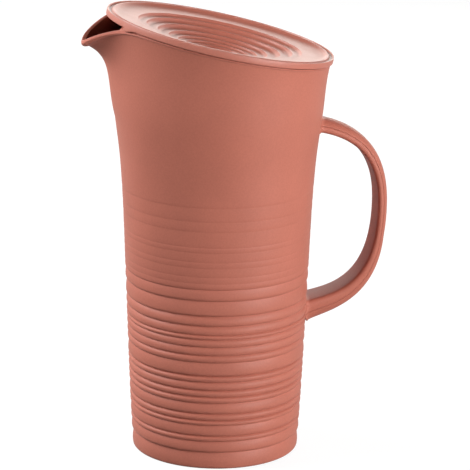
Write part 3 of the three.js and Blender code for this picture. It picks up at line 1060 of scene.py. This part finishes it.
@dataclass
class DishLid:
    """Lid with a band over the rim, a stepped edge and a dish of terraces."""

    mouth: Mouth
    plastic: bpy.types.Material
    radius: float
    # Band and its stepped edge
    clearance: float = 0.3
    band_gap: float = 0.6
    upstand_radius: float = 66.1
    band_height: float = 4.15
    edge_width: float = 0.9
    edge_groove_depth: float = 1.2
    edge_groove_lean: float = 0.15
    edge_groove_slope: float = 0.7
    crest_inset: float = 3.3
    rim_width: float = 4.2
    rim_bevel: tuple[float, float] = (0.8, 1.0)
    edge_radii: tuple = (0.2, 0.2, 0.35, 0.35, 0.2, 0.35, 0.35, 0.25, 0.3)
    flange: float = 2.0
    # Dish
    lip_radius: float = 49.5
    lip_height: float = 1.7
    slope: float = 0.275
    thickness: float = 2.3
    terrace_share: float = 1.3
    steepness: float = 7.0
    # Shelf over the plug ring
    plug_radius: float = 64.0
    shelf_height: float = 0.38
    shelf_width: float = 4.4
    shelf_radius: float = 0.3
    shelf_steps: int = 3
    # Tab of the band on each side of the beak
    tab_angle: float = math.radians(22.3)
    tab_end_angle: float = math.radians(32.0)
    tab_drop: float = 2.2
    tab_flare_share: float = 0.4
    tab_cut: float = 1e-3
    skirt_chamfer: float = 1.0
    # Sides, and the rings as shares
    sides: int = 256
    ridge_shares: tuple = (1, 0.89, 0.747, 0.6, 0.481, 0.39, 0.303, 0.222, 0.16, 0.1)
    hollow_shares: tuple = (
        (0, 0), (0.06, 0.34), (0.15, 0.64), (0.3, 0.87), (0.5, 0.98), (0.78, 1.02), (1, 1))
    hollow_span: tuple[float, float] = (0.09, 0.985)
    hollow_steps: int = 22
    terrace_steps: tuple = (0, 0.025, 0.055, 0.09, 0.14, 0.2, 0.28, 0.38, 0.5, 0.64, 0.8, 0.93)

    def __post_init__(self) -> None:
        """Sets the angles of the sides, with a double one at each cut of the skirt."""
        even = TURN * np.arange(self.sides) / self.sides
        cuts = [math.pi + side * (self.tab_angle + off)
                for side in (-1, 1) for off in (-self.tab_cut, self.tab_cut)]
        self.angles = np.sort(np.concatenate([even, cuts]))

    def _ridge(self, radius: Points) -> Points:
        """Height of the crests' line at a radius of the dish."""
        return self.lip_height - self.slope * (self.lip_radius - radius)

    def _terraces(self) -> list[tuple[float, float, float, float]]:
        """Rings of the dish's terraces.

        Returns:
            Radius, height, place and fall of each ring, from the first crest inwards.
        """
        radii = [share * self.lip_radius for share in self.ridge_shares]
        rows = []
        for outer, inner in zip(radii, radii[1:]):
            fall = self._ridge(outer) - self._ridge(inner)
            for s in self.terrace_steps:
                radius = outer + (inner - outer) * s
                rows.append((radius, self._ridge(radius), s, fall))
        rows.append((radii[-1], self._ridge(radii[-1]), 0, 0))
        return rows

    def _corner(self, radius: Points, height: Points) -> Points:
        """Radius and height of a corner of the outline on every side."""
        return np.stack([np.broadcast_to(v, self.angles.shape) for v in (radius, height)])

    def _skirt(self) -> Points:
        """How far the band's lower edge dips on each side of the beak.

        Returns:
            The dip at each angle.
        """
        off = np.abs(self.angles - math.pi)
        t = np.clip((off - self.tab_angle) / (self.tab_end_angle - self.tab_angle), 0, 1)
        return np.where(off < self.tab_angle, 0, self.tab_drop * (1 - eased(t)))

    def build(self) -> Piece:
        """Makes the lid as one shell, from the middle underneath round the band to the dish.

        Returns:
            The object that stands for the lid.
        """
        dip = self._skirt()
        seat = self.upstand_radius + 2 * self.clearance
        inner = seat + self.tab_flare_share * dip
        low = self.band_gap - dip
        top = self.band_height
        groove = top - self.edge_groove_depth
        under = top - self.flange
        edge_inner = self.radius - self.edge_width
        crest_outer = self.radius - self.crest_inset
        rim_inner = self.radius - self.rim_width
        shelf = self.plug_radius - self.shelf_width
        bevel_width, bevel_drop = self.rim_bevel

        terraces = self._terraces()
        rows = [(r, h - self.thickness, s, fall) for r, h, s, fall in reversed(terraces)]
        rows.append((shelf, self.shelf_height, 0, 0))
        band = rounded([self._corner(*p) for p in (
            (shelf, self.shelf_height), (self.plug_radius, self.shelf_height),
            (self.plug_radius, under), (seat, under))],
            (self.shelf_radius, self.shelf_radius), self.shelf_steps)
        around = rounded([self._corner(*p) for p in (
            (seat, under), (inner, low + self.skirt_chamfer), (inner, low), (self.radius, low),
            (self.radius, top), (edge_inner, top), (edge_inner - self.edge_groove_lean, groove),
            (crest_outer + self.edge_groove_slope, groove), (crest_outer, top), (rim_inner, top),
            (rim_inner - bevel_width, top - bevel_drop))], self.edge_radii)
        width = rim_inner - self.lip_radius
        rise = top - self.lip_height
        hollow = [(rim_inner - width * s, top - rise * smooth_table(self.hollow_shares, s), 0, 0)
                  for s in np.linspace(*self.hollow_span, self.hollow_steps)]

        def place(radius: Points, height: Points) -> Points:
            """Ring of the lid."""
            return self.mouth.point(self.angles, radius, height)

        rings = [place(r, h) for r, h, _, _ in rows]
        rings += [place(*p) for p in band[1:-1] + around[:-1]]
        upper = hollow + terraces
        rings += [place(r, h) for r, h, _, _ in upper]
        blank = [0.0] * (len(band) - 2 + len(around) - 1)
        steps, falls = (
            [row[i] for row in rows] + blank + [row[i] for row in upper] for i in (2, 3))
        middle = self._ridge(terraces[-1][0])
        piece = shell(
            "lid_dish", rings, self.mouth.point(0.0, 0.0, middle - self.thickness),
            self.mouth.point(0.0, 0.0, middle), {"ring_place": steps, "ring_depth": falls})
        StepRings(StepShape.TERRACE).finish(
            piece, Depth=self.terrace_share * MM, Direction=-self.mouth.axis,
            Steepness=self.steepness, Material=self.plastic)
        return piece


@dataclass
class PlugRing:
    """Ring under the lid that plugs the mouth, open at the beak."""

    mouth: Mouth
    plastic: bpy.types.Material
    radius: float = 64.0
    top: float = 0.08
    depth: float = 4.6
    wall: float = 2.2
    taper: float = 2.0
    gap_angle: float = math.radians(13.4)
    corner: float = 0.45
    sides: int = 200

    def build(self) -> Piece:
        """Makes the ring.

        Returns:
            The object that stands for the plug ring.
        """
        piece = new_object("plug_ring", np.zeros((0, 3)), [], {})
        ArcRing().finish(
            piece, Sides=self.sides, Radius=(self.radius - (self.taper + self.wall) / 2) * MM,
            Start=self.gap_angle - math.pi, Sweep=TURN - 2 * self.gap_angle,
            Depth=(self.depth + self.top) * MM, Wall=self.wall * MM, Taper=self.taper * MM,
            Corner=self.corner * MM, Material=self.plastic)
        middle = (self.top - self.depth) / 2
        place = Matrix.Rotation(self.mouth.tilt, 4, "Y")
        place.translation = Vector(self.mouth.point(0.0, 0.0, middle)) * MM
        piece.data.transform(place)
        return piece


@dataclass(frozen=True)
class Softbox:
    """Area lamp aimed at the pitcher's middle, in metres, with its place's angles in degrees."""

    name: str
    azimuth: float
    elevation: float
    distance: float
    width: float
    height: float
    watts: float
    color: tuple[float, float, float] = (1.0, 1.0, 1.0)

    def place(self, target: Vector) -> None:
        """Adds the lamp.

        Args:
            target: point that the lamp faces.
        """
        data = bpy.data.lights.new(self.name, "AREA")
        data.shape = "RECTANGLE"
        data.size, data.size_y = self.width, self.height
        data.energy = self.watts
        data.color = self.color
        lamp = put(self.name, data)
        turn, rise = math.radians(self.azimuth), math.radians(self.elevation)
        level = math.cos(rise)
        back = Vector((math.sin(turn) * level, -math.cos(turn) * level, math.sin(rise)))
        lamp.location = target + back * self.distance
        lamp.rotation_euler = (-back).to_track_quat("-Z", "Y").to_euler()


@dataclass
class Studio:
    """White floor and surround, soft lamps, and the camera at the photograph's angle."""

    # Camera: place and clip in metres, angles in degrees, lens and sensor in millimetres
    camera_place: tuple[float, float, float] = (-0.375194, -1.832138, 0.6563)
    camera_azimuth: float = 11.9
    camera_pitch: float = -15.68
    camera_roll: float = 0.7407
    lens: float = 247.99
    sensor: float = 36.0
    clip: tuple[float, float] = (0.01, 50.0)
    # Light of the surround, by angles above the horizon
    horizon_light: float = 1.5
    horizon_start: float = math.radians(1.0)
    horizon_end: float = math.radians(6.0)
    ceiling: float = 0.15
    backdrop_top: float = math.radians(18.0)
    ceiling_start: float = math.radians(34.0)
    floor_tone: float = 0.1
    floor_glow: float = 0.92
    floor_shine: float = 0.4
    floor_roughness: float = 0.9
    floor_drop: float = 0.0003
    floor_size: float = 6.0
    lamps: list[Softbox] = field(default_factory=lambda: [
        Softbox("right_softbox", 42.0, 8.0, 1.3, 1.0, 0.8, 22.0),
        Softbox("left_softbox", -104.0, 34.0, 1.3, 1.2, 0.6, 23.0),
        Softbox("back_softbox", 168.0, 15.0, 1.3, 1.3, 0.5, 5.6, (1.0, 0.88, 0.8)),
    ])

    def build(self, target: Vector) -> None:
        """Adds camera, surround, floor and lamps.

        Args:
            target: point that the lamps face.
        """
        self._camera()
        self._surround()
        self._floor()
        for lamp in self.lamps:
            lamp.place(target)

    def _camera(self) -> None:
        """Adds the camera."""
        data = bpy.data.cameras.new("photo_camera")
        data.lens = self.lens
        data.sensor_width = self.sensor
        data.clip_start, data.clip_end = self.clip
        camera = put("photo_camera", data)
        heading = Matrix.Rotation(math.radians(-self.camera_azimuth), 4, "Z")
        pitch = Matrix.Rotation(math.radians(90 + self.camera_pitch), 4, "X")
        roll = Matrix.Rotation(math.radians(self.camera_roll), 4, "Z")
        camera.matrix_world = Matrix.Translation(self.camera_place) @ heading @ pitch @ roll
        bpy.context.scene.camera = camera

    @staticmethod
    def _direct_rays(tree: Tree) -> Socket:
        """Tells the rays that see the pale background from those that light the object.

        Args:
            tree: tree that the nodes join.

        Returns:
            1 for camera, glossy and transmission rays, and 0 for others.
        """
        path = add_node(tree, "ShaderNodeLightPath")
        total = path.outputs["Is Camera Ray"]
        for name in ("Is Glossy Ray", "Is Transmission Ray"):
            total = add_node(tree, "ShaderNodeMath", {
                0: total, 1: path.outputs[name]}, operation="MAXIMUM").outputs["Value"]
        return total

    def _surround(self) -> None:
        """Sets the world: white to the camera, a pale backdrop in gloss, and soft low light."""
        world = bpy.data.worlds.new("surround")
        bpy.context.scene.world = world
        world.use_nodes = True
        tree = world.node_tree
        height = add_node(tree, "ShaderNodeSeparateXYZ", {
            "Vector": add_node(tree, "ShaderNodeTexCoord").outputs["Generated"]}).outputs["Z"]
        backdrop = add_node(tree, "ShaderNodeMapRange", {
            "Value": height, "From Min": math.sin(self.backdrop_top),
            "From Max": math.sin(self.ceiling_start), "To Min": 1.0, "To Max": self.ceiling,
        }, interpolation_type="SMOOTHSTEP")
        horizon = add_node(tree, "ShaderNodeMapRange", {
            "Value": height, "From Min": math.sin(self.horizon_start),
            "From Max": math.sin(self.horizon_end), "To Min": self.horizon_light, "To Max": 0.0})
        seen = add_node(tree, "ShaderNodeMix", {
            "Factor": add_node(tree, "ShaderNodeLightPath").outputs["Is Camera Ray"],
            "A": backdrop.outputs["Result"], "B": 1.0})
        strength = add_node(tree, "ShaderNodeMapRange", {
            "Value": self._direct_rays(tree), "To Min": horizon.outputs["Result"],
            "To Max": seen.outputs["Result"]})
        background = tree.nodes["Background"]
        feed(tree, background.inputs["Color"], WHITE)
        feed(tree, background.inputs["Strength"], strength.outputs["Result"])

    def _floor(self) -> None:
        """Adds a floor that looks white and keeps the shadow."""
        half = self.floor_size / 2
        corners = [(-half, -half), (half, -half), (half, half), (-half, half)]
        mesh = bpy.data.meshes.new("floor")
        mesh.from_pydata([(x, y, -self.floor_drop) for x, y in corners], [], [(0, 1, 2, 3)])
        material = bpy.data.materials.new("white_floor")
        material.use_nodes = True
        tree = material.node_tree
        camera_rays = add_node(tree, "ShaderNodeLightPath").outputs["Is Camera Ray"]
        levels = [add_node(tree, "ShaderNodeMath", {
            0: ray, 1: level}, operation="MULTIPLY").outputs["Value"] for ray, level in (
                (camera_rays, self.floor_glow), (self._direct_rays(tree), self.floor_shine))]
        glow = add_node(tree, "ShaderNodeMath", dict(enumerate(levels)), operation="MAXIMUM")
        for name, value in (
                ("Base Color", (*[self.floor_tone] * 3, 1)), ("Roughness", self.floor_roughness),
                ("Emission Color", WHITE), ("Emission Strength", glow.outputs["Value"])):
            feed(tree, tree.nodes["Principled BSDF"].inputs[name], value)
        mesh.materials.append(material)
        put("floor", mesh)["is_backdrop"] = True


def adopt(piece: Piece, node: str, body: Body) -> None:
    """Lets a finished piece stand for its node.

    Args:
        piece: the finished piece.
        node: the node that it replaces.
        body: the body that it rides on.
    """
    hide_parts(node)
    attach(piece, body.value)
    LOG.info("%s stands for %s with %d faces", piece.name, node, len(piece.data.polygons))


def main() -> None:
    """Builds the pieces in order and sets the stage."""
    logging.basicConfig(level=logging.INFO, format="%(message)s")
    cad_low, cad_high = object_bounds()
    scene = bpy.context.scene
    scene.view_settings.view_transform = "Standard"

    lid_low, lid_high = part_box("lid")
    mouth = Mouth()
    jug = JugBody(mouth, SatinPlastic("terracotta_satin_body", TERRACOTTA).build())
    adopt(jug.build(), "jug_body", Body.JUG)

    handle = LoopHandle(
        jug.radius, SatinPlastic("terracotta_satin_grip", TERRACOTTA, specular=0.15).build(),
        SatinPlastic("terracotta_satin_cover", TERRACOTTA, specular=0.15).build())
    grip, cover = handle.build()
    adopt(grip, "handle_grip", Body.JUG)
    adopt(cover, "handle_cover", Body.JUG)

    lid = DishLid(
        mouth, SatinPlastic(
            "terracotta_satin_lid", TERRACOTTA, roughness=(0.34, 0.42), specular=0.5).build(),
        radius=(lid_high.y - lid_low.y) / 2 / MM)
    adopt(lid.build(), "lid", Body.LID)
    plug = PlugRing(mouth, SatinPlastic("terracotta_satin_collar", TERRACOTTA).build())
    adopt(plug.build(), "lid_collar", Body.LID)

    Studio().build((cad_low + cad_high) / 2)


if __name__ == "__main__":
    main()
